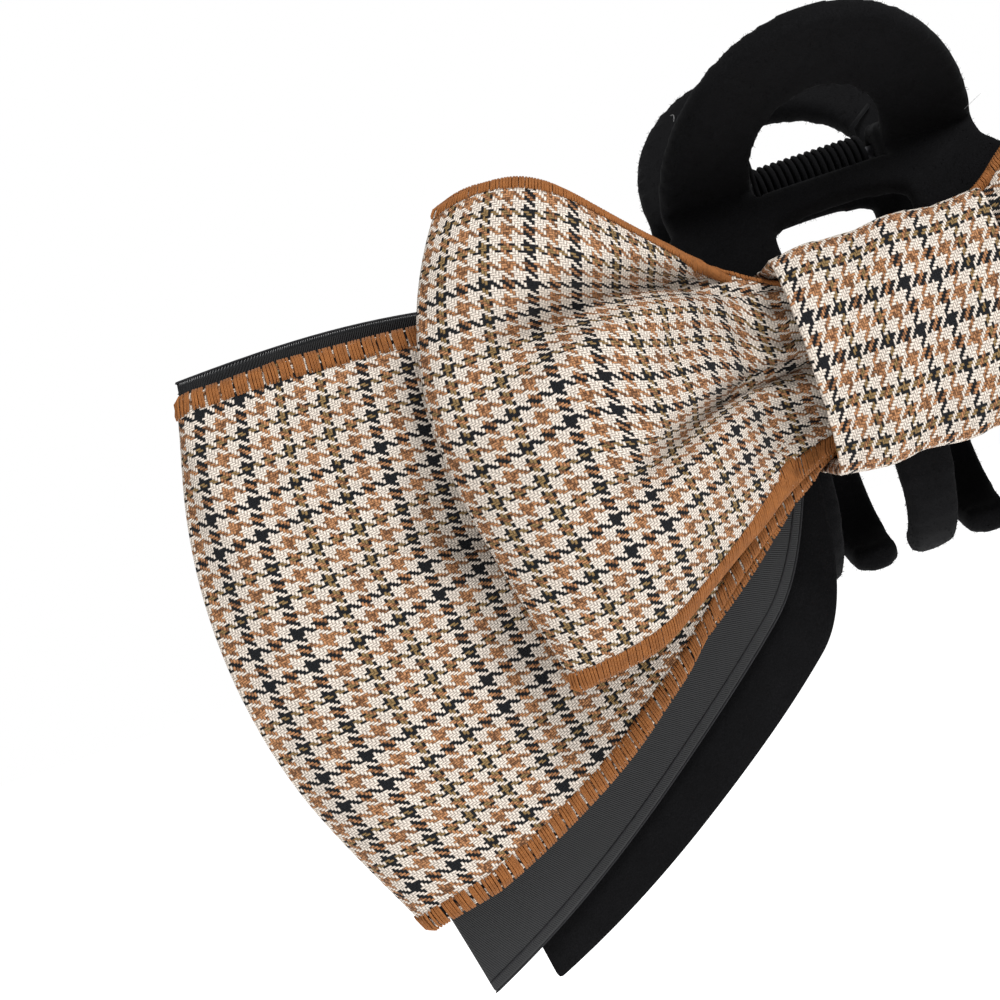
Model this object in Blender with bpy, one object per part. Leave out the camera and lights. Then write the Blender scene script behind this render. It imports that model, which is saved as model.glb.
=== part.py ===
"""Hair bow on a claw clip: two sprung jaws, and a bow of folded fabric strips tied by a knot band.

Metres, +Z up. X runs along the bow, the bow faces -Y, the handles of the claw point up.
The origin lies between the closed jaws, level with the middle of the knot.
"""
import math

import bmesh
import bpy
from mathutils import Matrix, Vector

MM = 0.001
GAP = 0.3 * MM                      # clearance between neighbouring pieces

# Claw: one jaw is a flat plate with windows, bent along its length.
HINGE_Z = 26 * MM
PLATE = 2.6 * MM                    # jaw thickness
PLATE_SETBACK = 5.4 * MM            # plate centre to hinge axis, at hinge height
HANDLE_HALF = 22.5 * MM
HANDLE_LENGTH = 30 * MM
HANDLE_LEAN = math.radians(52)
ELBOW = 3.2 * MM                    # half length of the bend between handle and jaw
WINDOW_HALF = 10.4 * MM
HANDLE_BAND = 12.4 * MM              # width of the handle's arch
BRIDGE_TOP = -3.6 * MM              # bar under the spring, along the plate from the hinge
BRIDGE_BOTTOM = -7.0 * MM
LOWER_WINDOW_END = -18.5 * MM
COMB_HALF = 39 * MM                 # half width of the toothed plate
COMB_TOP = -20 * MM
COMB_END = -37 * MM                 # roots of the teeth
NOTCH = 2.5 * MM                    # how far the round gaps between teeth cut in above the roots
TOOTH_PITCH = 17 * MM
TOOTH_ROOT = 7.4 * MM
TOOTH_TIP = 5.6 * MM
TOOTH_END = -65.3 * MM
SHOULDER_LEAN = math.radians(44)    # plate below the hinge, from vertical
SHOULDER_RUN = 5 * MM
SHOULDER_BEND = 12 * MM
FLAT_RUN = 26.5 * MM                  # upright stretch that carries the bow
TOOTH_BEND = 16 * MM
TOOTH_TURN = math.radians(80)

# Hinge
PIN_R = 0.9 * MM
PIN_HALF = 17.6 * MM
LUG_R = 3.2 * MM
LUG_BORE = PIN_R + 0.35 * MM
LUG_WIDTH = 2.6 * MM
FRONT_LUG_X = 11.2 * MM
REAR_LUG_X = 14.8 * MM
COIL_R = 2.6 * MM
COIL_WIRE_R = 0.38 * MM
COIL_TURNS = 16.5
COIL_HALF = 8.4 * MM
LEG_RISE = 4.2 * MM                 # straight start of each leg, clear of the lugs
LEG_END = (13.6 * MM, 10.6 * MM, 7.0 * MM)

# Bow: strips are stacked away from the jaw, each one thickness and one gap further forward.
CLOTH = 0.9 * MM
EDGING = 1.2 * MM                   # how far the overlocked thread stands off the cloth's edge
SATIN = 0.4 * MM
VELVET = 0.7 * MM
WAIST_HALF = 10 * MM                # half height of the gathered waist
KNOT_HALF_X = 15.5 * MM
KNOT_HALF_Z = 15.2 * MM
BAND_ROUND = 5 * MM                 # depth of the knot's rounded front
BAND_TAPER = 0.95                   # height of the knot's back against its front
TAIL_START = 17 * MM                # the tails run level up to here, then slope down
TAIL_TURN = 12 * MM
TAIL_SPREAD = 30 * MM
THREAD_R = 0.15 * MM
THREAD_STEP = 3.2 * MM              # each strip is tied beside its neighbour's thread
THREAD_WIDTH = 2.4 * MM             # turns of the gathering thread side by side
FOLD_OPEN = 0.86                    # below 1, the two layers stay apart where they meet the fold
LAYER_GAP = 1.3 * MM                # between the two layers of a loop at the waist


def clear_scene():
    for obj in list(bpy.data.objects):
        bpy.data.objects.remove(obj)


def material(name, colour, roughness, metallic=0.0):
    mat = bpy.data.materials.get(name)
    if mat is None:
        mat = bpy.data.materials.new(name)
        mat.use_nodes = True
        shader = mat.node_tree.nodes["Principled BSDF"]
        shader.inputs["Base Color"].default_value = (*colour, 1.0)
        shader.inputs["Roughness"].default_value = roughness
        shader.inputs["Metallic"].default_value = metallic
    return mat


def flock():
    return material("black_flock", (0.012, 0.012, 0.013), 0.95)


def steel():
    return material("spring_steel", (0.05, 0.05, 0.055), 0.5, 0.8)


def check_cloth():
    return material("check_twill", (0.42, 0.30, 0.20), 0.9)


def overlock():
    return material("overlock_thread", (0.16, 0.085, 0.045), 0.85)


def satin():
    return material("black_satin", (0.01, 0.01, 0.011), 0.35)


def velvet():
    return material("black_velvet", (0.008, 0.008, 0.009), 1.0)


def add_mesh(name, mesh_bm, mat, smooth=True):
    bmesh.ops.recalc_face_normals(mesh_bm, faces=mesh_bm.faces)
    mesh = bpy.data.meshes.new(name)
    mesh_bm.to_mesh(mesh)
    mesh_bm.free()
    if smooth:
        mesh.shade_smooth()
        mesh.set_sharp_from_angle(angle=math.radians(40))
    mesh.materials.append(mat)
    obj = bpy.data.objects.new(name, mesh)
    bpy.context.collection.objects.link(obj)
    return obj


def cut(target, cutter, operation="DIFFERENCE"):
    """Boolean that is applied at once, and drops the tool object."""
    mod = target.modifiers.new("cut", "BOOLEAN")
    mod.operation = operation
    mod.object = cutter
    bpy.context.view_layer.update()
    graph = bpy.context.evaluated_depsgraph_get()
    mesh = bpy.data.meshes.new_from_object(target.evaluated_get(graph))
    target.modifiers.clear()
    target.data = mesh
    bpy.data.objects.remove(cutter)


# ---------------------------------------------------------------- claw

def arc(cx, cz, rx, rz, start, end, steps):
    """Points of an elliptical arc, angles in degrees."""
    points = []
    for i in range(steps + 1):
        angle = math.radians(start + (end - start) * i / steps)
        points.append((cx + rx * math.cos(angle), cz + rz * math.sin(angle)))
    return points


def flat_jaw(tooth_centres):
    """Closed outline of the jaw plate with its two windows, as lists of (x, s) points."""
    handle = arc(0, 0, HANDLE_HALF, HANDLE_LENGTH, 0, 180, 26)
    left = [(-HANDLE_HALF, -5 * MM)]
    left += arc(-COMB_HALF + 9 * MM, COMB_TOP - 9 * MM, 9 * MM, 9 * MM, 118, 180, 5)
    left.append((-COMB_HALF, COMB_END + NOTCH + MM))
    teeth = []
    for centre in sorted(tooth_centres):
        if teeth:
            gap = (TOOTH_PITCH - TOOTH_ROOT) / 2
            teeth += arc(centre - TOOTH_PITCH / 2, COMB_END, gap, NOTCH, 180, 0, 6)[1:-1]
        teeth.append((centre - TOOTH_ROOT / 2, COMB_END))
        teeth += arc(centre, TOOTH_END + TOOTH_TIP / 2, TOOTH_TIP / 2, TOOTH_TIP / 2, 180, 360, 6)
        teeth.append((centre + TOOTH_ROOT / 2, COMB_END))
    right = [(-x, s) for x, s in reversed(left)]
    outline = handle + left + teeth + right

    handle_window = arc(0, 4 * MM, WINDOW_HALF, HANDLE_LENGTH - HANDLE_BAND - 4 * MM, 0, 180, 14)
    handle_window += [(-WINDOW_HALF, BRIDGE_TOP), (WINDOW_HALF, BRIDGE_TOP)]
    lower_window = arc(0, BRIDGE_BOTTOM - 3 * MM, WINDOW_HALF, 3 * MM, 0, 180, 8)
    lower_window += [(-WINDOW_HALF, LOWER_WINDOW_END), (WINDOW_HALF, LOWER_WINDOW_END)]
    return outline, [handle_window, lower_window]


def plate_from_outline(name, outline, holes):
    """Flat plate in the XZ plane, made from a filled curve with holes, PLATE thick."""
    curve = bpy.data.curves.new(name + "_curve", "CURVE")
    curve.dimensions = "2D"
    curve.fill_mode = "BOTH"
    curve.extrude = PLATE / 2
    for ring in [outline] + holes:
        spline = curve.splines.new("POLY")
        spline.points.add(len(ring) - 1)
        for point, (x, s) in zip(spline.points, ring):
            point.co = (x, s, 0, 1)
        spline.use_cyclic_u = True
    obj = bpy.data.objects.new(name + "_curve", curve)
    bpy.context.collection.objects.link(obj)
    bpy.context.view_layer.update()
    graph = bpy.context.evaluated_depsgraph_get()
    mesh = bpy.data.meshes.new_from_object(obj.evaluated_get(graph))
    plate = bmesh.new()
    plate.from_mesh(mesh)
    bmesh.ops.remove_doubles(plate, verts=plate.verts, dist=1e-6)
    bpy.data.objects.remove(obj)
    return plate


def jaw_profile(s):
    """Centre line of the jaw at distance s from hinge height: (y, z, angle from vertical)."""
    if s >= 0:
        y = -PLATE_SETBACK - s * math.sin(HANDLE_LEAN)
        return y, HINGE_Z + s * math.cos(HANDLE_LEAN), HANDLE_LEAN * min(s / ELBOW, 1)
    down = -s
    y, z = -PLATE_SETBACK, HINGE_Z
    run = min(down, SHOULDER_RUN)
    y -= run * math.sin(SHOULDER_LEAN)
    z -= run * math.cos(SHOULDER_LEAN)
    down -= run
    turned = min(down / SHOULDER_BEND, SHOULDER_LEAN)
    angle = SHOULDER_LEAN - turned
    y -= SHOULDER_BEND * (math.cos(angle) - math.cos(SHOULDER_LEAN))
    z -= SHOULDER_BEND * (math.sin(SHOULDER_LEAN) - math.sin(angle))
    down -= turned * SHOULDER_BEND
    run = min(down, FLAT_RUN)
    z -= run
    down -= run
    turned = min(down / TOOTH_BEND, TOOTH_TURN)
    y += TOOTH_BEND * (1 - math.cos(turned))
    z -= TOOTH_BEND * math.sin(turned)
    down -= turned * TOOTH_BEND
    y += down * math.sin(turned)
    z -= down * math.cos(turned)
    return y, z, -(angle - turned) * min(-s / ELBOW, 1)


def bend_jaw(plate, facing):
    """Cuts the flat plate into short rows and bends it; facing -1 is the front jaw."""
    levels = [0.0, ELBOW, ELBOW / 2, -ELBOW / 2, -ELBOW]
    levels += [-SHOULDER_RUN - i * 1.75 * MM for i in range(7)]
    straight_end = -SHOULDER_RUN - SHOULDER_BEND * SHOULDER_LEAN - FLAT_RUN
    levels += [straight_end - i * 3.3 * MM for i in range(8)]
    for level in levels:
        geometry = plate.verts[:] + plate.edges[:] + plate.faces[:]
        bmesh.ops.bisect_plane(plate, geom=geometry, dist=1e-6, plane_co=(0, level, 0), plane_no=(0, 1, 0))
    for vert in plate.verts:
        x, s, offset = vert.co
        y, z, angle = jaw_profile(s)
        vert.co = (x, y - offset * math.cos(angle), z - offset * math.sin(angle))
        vert.co.y *= -facing
    bmesh.ops.triangulate(plate, faces=plate.faces[:])
    bmesh.ops.recalc_face_normals(plate, faces=plate.faces)


def lug(x, facing):
    """Eye around the pin with a foot that runs back into the plate."""
    body = bmesh.new()
    ring = arc(0, 0, LUG_R, LUG_R, 90, -90, 10)
    foot = PLATE_SETBACK
    outline = ring + [(-foot, -LUG_R * 0.9), (-foot, LUG_R * 0.9)]
    verts = [body.verts.new((x - LUG_WIDTH / 2, -facing * y, HINGE_Z + z)) for y, z in outline]
    face = body.faces.new(verts)
    grown = bmesh.ops.extrude_face_region(body, geom=[face])
    moved = [item for item in grown["geom"] if isinstance(item, bmesh.types.BMVert)]
    bmesh.ops.translate(body, verts=moved, vec=(LUG_WIDTH, 0, 0))
    return add_mesh("lug", body, flock(), smooth=False)


def rod(name, radius, half_length, segments, mat):
    body = bmesh.new()
    bmesh.ops.create_cone(
        body, cap_ends=True, segments=segments, radius1=radius, radius2=radius, depth=2 * half_length,
        matrix=Matrix.Translation((0, 0, HINGE_Z)) @ Matrix.Rotation(math.pi / 2, 4, "Y"))
    return add_mesh(name, body, mat)


def jaw(name, tooth_centres, facing, lug_x):
    outline, holes = flat_jaw(tooth_centres)
    plate = plate_from_outline(name, outline, holes)
    bend_jaw(plate, facing)
    obj = add_mesh(name, plate, flock())
    for side in (-1, 1):
        cut(obj, lug(side * lug_x, facing), "UNION")
    cut(obj, rod("bore", LUG_BORE, REAR_LUG_X + LUG_WIDTH, 20, flock()))
    return obj


def coil():
    """Torsion spring around the pin, with one leg behind each handle, swept along one path."""
    sides = 12
    steps = int(COIL_TURNS * sides)
    turns = []
    for i in range(steps + 1):
        angle = math.pi + 2 * math.pi * i / sides
        x = -COIL_HALF + 2 * COIL_HALF * i / steps
        turns.append(Vector((x, COIL_R * math.cos(angle), COIL_R * math.sin(angle))))
    rise = Vector((0, 0, LEG_RISE))
    reach_x, reach_y, reach_z = LEG_END
    front_leg = [Vector((-reach_x, -reach_y, reach_z)), turns[0] + rise]
    rear_leg = [turns[-1] + rise, Vector((reach_x, reach_y, reach_z))]
    path = front_leg + turns + rear_leg
    curve = bpy.data.curves.new("torsion_spring", "CURVE")
    curve.dimensions = "3D"
    curve.bevel_depth = COIL_WIRE_R
    curve.bevel_resolution = 1
    curve.use_fill_caps = True
    spline = curve.splines.new("POLY")
    spline.points.add(len(path) - 1)
    for point, place in zip(spline.points, path):
        point.co = (place.x, place.y, place.z + HINGE_Z, 1)
    curve.materials.append(steel())
    obj = bpy.data.objects.new("torsion_spring", curve)
    bpy.context.collection.objects.link(obj)
    return obj


# ---------------------------------------------------------------- bow

def ease(t):
    return t * t * (3 - 2 * t)


def mix(a, b, t):
    return a + (b - a) * t


def bezier(points, t):
    """Point at t on the smooth curve that a few (x, z) points steer."""
    work = [Vector(p) for p in points]
    while len(work) > 1:
        work = [a.lerp(b, t) for a, b in zip(work, work[1:])]
    return work[0]


class Loop:
    """A strip folded into a loop on each side of the waist.

    top and bottom steer the two long edges from the waist to the fold, in mm for the right half.
    bulge is how far the fold bows out between its corners, puff how far the front stands forward.
    hold is the length that stays flat at the waist, measured on the steering points.
    """

    def __init__(self, depth, thick, top, bottom, bulge, puff, lean, inside, hold):
        self.depth = depth          # distance of the back layer's centre from the origin, forward
        self.thick = thick
        self.top = [(x * MM, z * MM) for x, z in top]
        self.bottom = [(x * MM, z * MM) for x, z in bottom]
        self.bulge = bulge
        self.puff = puff
        self.lean = lean            # how far the fold lies in front of the waist
        self.inside = inside        # gap between the two layers at the waist
        self.knot_share = hold * MM / self.top[-1][0]

    def point(self, t, v, front, side):
        """t from waist 0 to fold 1, v from bottom -1 to top 1, front layer True or False."""
        upper = bezier(self.top, t)
        lower = bezier(self.bottom, t)
        place = lower.lerp(upper, (v + 1) / 2)
        x = place.x + self.bulge * (1 - v * v) * t * t
        swell = max(t - self.knot_share, 0) / (1 - self.knot_share)
        y = self.depth + self.lean * math.sin(math.pi / 2 * swell)
        if front:
            y += self.inside + self.puff * math.sin(math.pi * FOLD_OPEN * swell ** 0.85)
        return Vector((side * x, -y, place.y))


def strip_path(loop, v, rows):
    """Closed centre line around both loops at one height of the strip."""
    path = []
    for side in (1, -1):
        front = [loop.point(i / rows, v, True, side) for i in range(rows + 1)]
        back = [loop.point(i / rows, v, False, side) for i in range(rows + 1)]
        nose = (front[-1] + back[-1]) / 2
        reach = (front[-1] - back[-1]) / 2
        fold = []
        for angle in (45, 90, 135):
            outward = Vector((side * reach.length * math.sin(math.radians(angle)), 0, 0))
            fold.append(nose + reach * math.cos(math.radians(angle)) + outward)
        half = front + fold + back[::-1]
        path += half if side > 0 else half[::-1]
    cleaned = []
    for place in path:
        if not cleaned or (place - cleaned[-1]).length > 1e-5:
            cleaned.append(place)
    if (cleaned[0] - cleaned[-1]).length < 1e-5:
        cleaned.pop()
    return cleaned


def closed_strip(name, loop, rows, cols, mat):
    """Solid shell of the folded strip: both skins and the two long edges."""
    paths = [strip_path(loop, -1 + 2 * j / cols, rows) for j in range(cols + 1)]
    count = len(paths[0])
    body = bmesh.new()
    skins = []
    for sign in (1, -1):
        grid = []
        for path in paths:
            line = []
            for i, place in enumerate(path):
                ahead = path[(i + 1) % count] - path[i - 1]
                outward = Vector((ahead.y, -ahead.x, 0)).normalized()
                line.append(body.verts.new(place + outward * (sign * loop.thick / 2)))
            grid.append(line)
        skins.append(grid)
    for grid in skins:
        for j in range(cols):
            for i in range(count):
                k = (i + 1) % count
                body.faces.new((grid[j][i], grid[j][k], grid[j + 1][k], grid[j + 1][i]))
    for j in (0, cols):
        for i in range(count):
            k = (i + 1) % count
            body.faces.new((skins[0][j][i], skins[0][j][k], skins[1][j][k], skins[1][j][i]))
    return add_mesh(name, body, mat)


def edging(name, loop, v, rows, height, mat):
    """Overlocked thread along one long edge, standing just off the cloth's cut edge."""
    path = strip_path(loop, v, rows)
    count = len(path)
    half = loop.thick * 0.55
    body = bmesh.new()
    rings = []
    for i, place in enumerate(path):
        ahead = path[(i + 1) % count] - path[i - 1]
        outward = Vector((ahead.y, -ahead.x, 0)).normalized()
        away = Vector((0, 0, math.copysign(1, v)))
        near = place + away * GAP
        far = place + away * (GAP + height)
        corners = (near - outward * half, near + outward * half, far + outward * half, far - outward * half)
        rings.append([body.verts.new(corner) for corner in corners])
    for i in range(count):
        a, b = rings[i], rings[(i + 1) % count]
        for c in range(4):
            d = (c + 1) % 4
            body.faces.new((a[c], b[c], b[d], a[d]))
    return add_mesh(name, body, mat)


def open_strip(name, thick, rows, cols, mat, place):
    """Single layer from one cut end to the other; place(u, v) gives its middle surface."""
    body = bmesh.new()
    skins = []
    for sign in (1, -1):
        grid = []
        for j in range(cols + 1):
            v = -1 + 2 * j / cols
            line = []
            for i in range(rows + 1):
                u = -1 + 2 * i / rows
                line.append(body.verts.new(place(u, v) + Vector((0, sign * thick / 2, 0))))
            grid.append(line)
        skins.append(grid)
    front, back = skins
    for grid in skins:
        for j in range(cols):
            for i in range(rows):
                body.faces.new((grid[j][i], grid[j][i + 1], grid[j + 1][i + 1], grid[j + 1][i]))
    rim = [(0, i) for i in range(rows + 1)]
    rim += [(j, rows) for j in range(1, cols + 1)]
    rim += [(cols, i) for i in range(rows - 1, -1, -1)]
    rim += [(j, 0) for j in range(cols - 1, 0, -1)]
    for (j, i), (n, m) in zip(rim, rim[1:] + rim[:1]):
        body.faces.new((front[j][i], front[n][m], back[n][m], back[j][i]))
    return add_mesh(name, body, mat)


def tail_surface(depth, length, width, drop, waist):
    """Ribbon that leaves the waist and slopes down to a square cut end, drop in radians."""
    def place(u, v):
        reach = abs(u) * length
        out = max(reach - TAIL_START, 0)
        turn = drop * ease(min(out / TAIL_TURN, 1))
        spread = v * mix(waist, width / 2, ease(min(out / TAIL_SPREAD, 1)))
        x = min(reach, TAIL_START) + out * math.cos(drop) + spread * math.sin(turn)
        z = spread * math.cos(turn) - out * math.sin(drop)
        return Vector((math.copysign(x, u), -depth, z))
    return place


def ring_band(name, half_x, half_z, back, front, thick, bulge, mat):
    """Band of cloth wrapped around the waist, open at its left and right ends."""
    body = bmesh.new()
    outline = []
    steps = 10
    for i in range(steps + 1):
        angle = math.pi / 2 - math.pi * i / steps
        outline.append((front - BAND_ROUND + BAND_ROUND * math.cos(angle), half_z * math.sin(angle)))
    outline += [(back, -half_z * BAND_TAPER), (back, 0), (back, half_z * BAND_TAPER)]
    columns = 6
    skins = []
    for sign in (0, 1):
        rings = []
        for c in range(columns + 1):
            x = half_x * (-1 + 2 * c / columns)
            pull = bulge * (1 - (x / half_x) ** 2)
            ring = []
            count = len(outline)
            for i, (y, z) in enumerate(outline):
                before = Vector(outline[i - 1])
                after = Vector(outline[(i + 1) % count])
                run = after - before
                inward = Vector((run.y, -run.x)).normalized() * (thick * sign)
                forward = pull if y > back + MM else 0
                ring.append(body.verts.new((x, -(y + forward + inward.x), z + inward.y)))
            rings.append(ring)
        skins.append(rings)
    count = len(outline)
    for rings in skins:
        for c in range(columns):
            for i in range(count):
                k = (i + 1) % count
                body.faces.new((rings[c][i], rings[c][k], rings[c + 1][k], rings[c + 1][i]))
    for c in (0, columns):
        for i in range(count):
            k = (i + 1) % count
            body.faces.new((skins[0][c][i], skins[0][c][k], skins[1][c][k], skins[1][c][i]))
    return add_mesh(name, body, mat)


def block(name, low, high, mat, bevel=0.0):
    """Box between two corners in mm, with rounded edges where bevel is given."""
    body = bmesh.new()
    bmesh.ops.create_cube(body, size=1)
    for vert in body.verts:
        vert.co = [mix(low[a], high[a], vert.co[a] + 0.5) * MM for a in range(3)]
    if bevel:
        bmesh.ops.bevel(body, geom=body.edges[:], offset=bevel * MM, segments=2, profile=0.5, affect="EDGES")
    return add_mesh(name, body, mat)


def thread_ring(name, x, back, front, half_z, radius, mat):
    """Gathering thread: a few turns around a waist, as one closed flat ring; clear of what it ties."""
    low = Vector((-(front + GAP + radius), -(half_z + GAP + radius)))
    high = Vector((-(back - GAP - radius), half_z + GAP + radius))
    corner = 0.3 * MM
    path = []
    for y, z, start in ((high.x, high.y, 0), (low.x, high.y, 90), (low.x, low.y, 180), (high.x, low.y, 270)):
        middle = Vector((y - math.copysign(corner, y - (low.x + high.x) / 2), z - math.copysign(corner, z)))
        for step in (0, 45, 90):
            angle = math.radians(start + step)
            out = Vector((math.cos(angle), math.sin(angle)))
            path.append((middle + out * corner, out))
    body = bmesh.new()
    rings = []
    for centre, out in path:
        ring = []
        for c in range(6):
            turn = 2 * math.pi * c / 6
            place = centre + out * (radius * math.cos(turn))
            ring.append(body.verts.new((x + THREAD_WIDTH / 2 * math.sin(turn), place.x, place.y)))
        rings.append(ring)
    for a, b in zip(rings, rings[1:] + rings[:1]):
        for c in range(6):
            d = (c + 1) % 6
            body.faces.new((a[c], b[c], b[d], a[d]))
    return add_mesh(name, body, mat)


# Places of the layers in front of the origin
JAW_FACE = PLATE_SETBACK + SHOULDER_RUN * math.sin(SHOULDER_LEAN) \
    + SHOULDER_BEND * (1 - math.cos(SHOULDER_LEAN)) + PLATE / 2
GLUE_FRONT = JAW_FACE + GAP + 0.8 * MM
BAND_BACK = GLUE_FRONT + GAP
THREAD_ROOM = 2 * GAP + 2 * THREAD_R
VELVET_AT = BAND_BACK + CLOTH + THREAD_ROOM + VELVET / 2
SATIN_LOOP_AT = VELVET_AT + VELVET / 2 + GAP + SATIN / 2
SATIN_TAIL_AT = SATIN_LOOP_AT + 1.0 * MM + SATIN + GAP
LOWER_AT = SATIN_TAIL_AT + SATIN / 2 + THREAD_ROOM + CLOTH / 2
UPPER_AT = LOWER_AT + LAYER_GAP + CLOTH + THREAD_ROOM
PADDING_AT = UPPER_AT + LAYER_GAP + CLOTH / 2 + THREAD_ROOM
BAND_FRONT = PADDING_AT + 5 * MM


def lower_loop():
    return Loop(
        LOWER_AT, CLOTH,
        top=[(0, 10), (14, 10), (26, 11), (50, 24), (74, 23), (96, 22)],
        bottom=[(0, -10), (14, -10), (25, -11), (42, -32), (64, -43), (87, -53)],
        bulge=8 * MM, puff=5 * MM, lean=3 * MM, inside=LAYER_GAP, hold=28)


def upper_loop():
    return Loop(
        UPPER_AT, CLOTH,
        top=[(0, 10), (14, 10), (25, 11), (33, 33), (45, 39), (56, 36)],
        bottom=[(0, -10), (14, -10), (25, -11), (34, -24), (46, -25), (58, -27)],
        bulge=12 * MM, puff=8 * MM, lean=10 * MM, inside=LAYER_GAP, hold=19)


def satin_loop():
    return Loop(
        SATIN_LOOP_AT, SATIN,
        top=[(0, 10), (14, 10), (26, 11), (46, 26), (70, 26), (94, 25)],
        bottom=[(0, -10), (14, -10), (26, -10), (46, -12), (70, -13), (92, -14)],
        bulge=2 * MM, puff=0.3 * MM, lean=0, inside=1.0 * MM, hold=17)


def build_claw():
    jaw("front_jaw", [TOOTH_PITCH * i for i in (-2, -1, 0, 1, 2)], -1, FRONT_LUG_X)
    rear = jaw("rear_jaw", [TOOTH_PITCH * (i + 0.5) for i in (-2, -1, 0, 1)], 1, REAR_LUG_X)
    rear.data.transform(Matrix.Translation((0, 0, -HINGE_Z)))
    rear.location = (0, 0, HINGE_Z)
    rod("hinge_pin", PIN_R, PIN_HALF, 16, steel())
    coil()


def build_bow():
    closed_strip("upper_bow_strip", upper_loop(), 14, 6, check_cloth())
    edging("upper_top_overlock", upper_loop(), 1, 14, EDGING, overlock())
    edging("upper_bottom_overlock", upper_loop(), -1, 14, EDGING, overlock())
    closed_strip("lower_bow_strip", lower_loop(), 14, 6, check_cloth())
    edging("lower_top_overlock", lower_loop(), 1, 14, EDGING, overlock())
    edging("lower_bottom_overlock", lower_loop(), -1, 14, EDGING, overlock())
    closed_strip("satin_loop_ribbon", satin_loop(), 10, 4, satin())
    open_strip("satin_tail_ribbon", SATIN, 28, 6, satin(),
               tail_surface(SATIN_TAIL_AT, 96 * MM, 39 * MM, math.radians(31), WAIST_HALF))
    open_strip("velvet_ribbon", VELVET, 24, 6, velvet(),
               tail_surface(VELVET_AT, 84 * MM, 48 * MM, math.radians(33), WAIST_HALF))
    ring_band("knot_band", KNOT_HALF_X, KNOT_HALF_Z, BAND_BACK, BAND_FRONT, CLOTH, 1.5 * MM, check_cloth())
    block("knot_padding", (-13, -(BAND_FRONT / MM - 1.9), -7), (13, -(PADDING_AT / MM), 7),
          material("wadding", (0.5, 0.5, 0.48), 1.0), bevel=1.2)
    edge = WAIST_HALF + GAP + EDGING
    half = CLOTH / 2
    thread_ring("upper_gather_thread", 0, UPPER_AT - half, UPPER_AT + LAYER_GAP + half, edge,
                THREAD_R, overlock())
    thread_ring("lower_gather_thread", THREAD_STEP, LOWER_AT - half, LOWER_AT + LAYER_GAP + half, edge,
                THREAD_R, overlock())
    thread_ring("ribbon_gather_thread", 0, VELVET_AT - VELVET / 2, SATIN_TAIL_AT + SATIN / 2, WAIST_HALF,
                THREAD_R, satin())
    block("glue_pad", (-15, -(GLUE_FRONT / MM), -10), (15, -(JAW_FACE / MM + 0.3), 3),
          material("hot_melt_glue", (0.45, 0.42, 0.35), 0.4))


def main():
    clear_scene()
    build_claw()
    build_bow()


main()
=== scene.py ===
"""Looks for the hair bow: checked twill loops with overlocked edges, black ribbons and a flocked claw."""
import math
import random

import bpy
import numpy as np
from mathutils import Matrix, Vector


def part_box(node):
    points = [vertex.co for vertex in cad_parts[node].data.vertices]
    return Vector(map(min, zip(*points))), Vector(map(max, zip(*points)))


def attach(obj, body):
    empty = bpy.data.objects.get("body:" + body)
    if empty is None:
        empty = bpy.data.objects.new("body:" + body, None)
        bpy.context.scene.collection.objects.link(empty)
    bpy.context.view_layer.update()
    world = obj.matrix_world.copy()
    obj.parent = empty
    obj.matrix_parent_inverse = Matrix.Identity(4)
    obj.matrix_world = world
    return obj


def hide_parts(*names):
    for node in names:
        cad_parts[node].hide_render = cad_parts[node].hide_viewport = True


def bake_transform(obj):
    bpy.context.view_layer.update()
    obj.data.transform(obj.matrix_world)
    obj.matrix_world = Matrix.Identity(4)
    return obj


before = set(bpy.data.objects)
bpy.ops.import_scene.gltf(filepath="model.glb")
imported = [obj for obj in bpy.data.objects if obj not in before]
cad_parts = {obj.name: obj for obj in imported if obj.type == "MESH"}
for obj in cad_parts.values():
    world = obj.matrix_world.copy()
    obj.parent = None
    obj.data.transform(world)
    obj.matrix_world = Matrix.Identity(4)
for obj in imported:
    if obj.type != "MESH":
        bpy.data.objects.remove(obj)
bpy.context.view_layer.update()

MM = 0.001
SEED = 7

# Yarns of the checked twill. The cloth's UV map is in metres, U along the strip and V across it.
YARN_ALONG = 0.385 * MM             # pitch of the yarns that cross the strip
YARN_ACROSS = 0.29 * MM             # pitch of the yarns that run along it
STRIPE = 4                          # yarns in one stripe
THREAD_PITCH = 0.27 * MM            # between sewing threads that lie side by side
THREAD_LAY = 0.5 * MM               # one turn of a thread's twist
SATIN_PITCH = 0.26 * MM             # between the satin's crosswise ribs
SATIN_DRIFT = 0.7 * MM              # width over which a rib moves on by one

CLOTH_THICK = 0.55 * MM
RIBBON_THICK = 0.25 * MM
SIM_FRAMES = 14

CREAM = (0.665, 0.585, 0.505)
BROWN_LIGHT = (0.44, 0.21, 0.095)
BROWN_DARK = (0.13, 0.058, 0.026)
INK = (0.005, 0.006, 0.008)
OLIVE = (0.21, 0.135, 0.055)
THREAD_BROWN = (0.37, 0.14, 0.038)


def ease(t):
    t = min(max(t, 0.0), 1.0)
    return t * t * (3 - 2 * t)


# ---------------------------------------------------------------- shader helpers

def new_material(name):
    mat = bpy.data.materials.new(name)
    mat.use_nodes = True
    return mat, mat.node_tree, mat.node_tree.nodes["Principled BSDF"]


def new_group(name, inputs, outputs):
    """Node group with named float, vector or colour sockets."""
    kinds = {"f": "NodeSocketFloat", "v": "NodeSocketVector", "c": "NodeSocketColor"}
    group = bpy.data.node_groups.new(name, "ShaderNodeTree")
    for title, kind, value in inputs:
        socket = group.interface.new_socket(title, in_out="INPUT", socket_type=kinds[kind])
        if value is not None:
            socket.default_value = value
    for title, kind in outputs:
        group.interface.new_socket(title, in_out="OUTPUT", socket_type=kinds[kind])
    return group, group.nodes.new("NodeGroupInput"), group.nodes.new("NodeGroupOutput")


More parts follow.
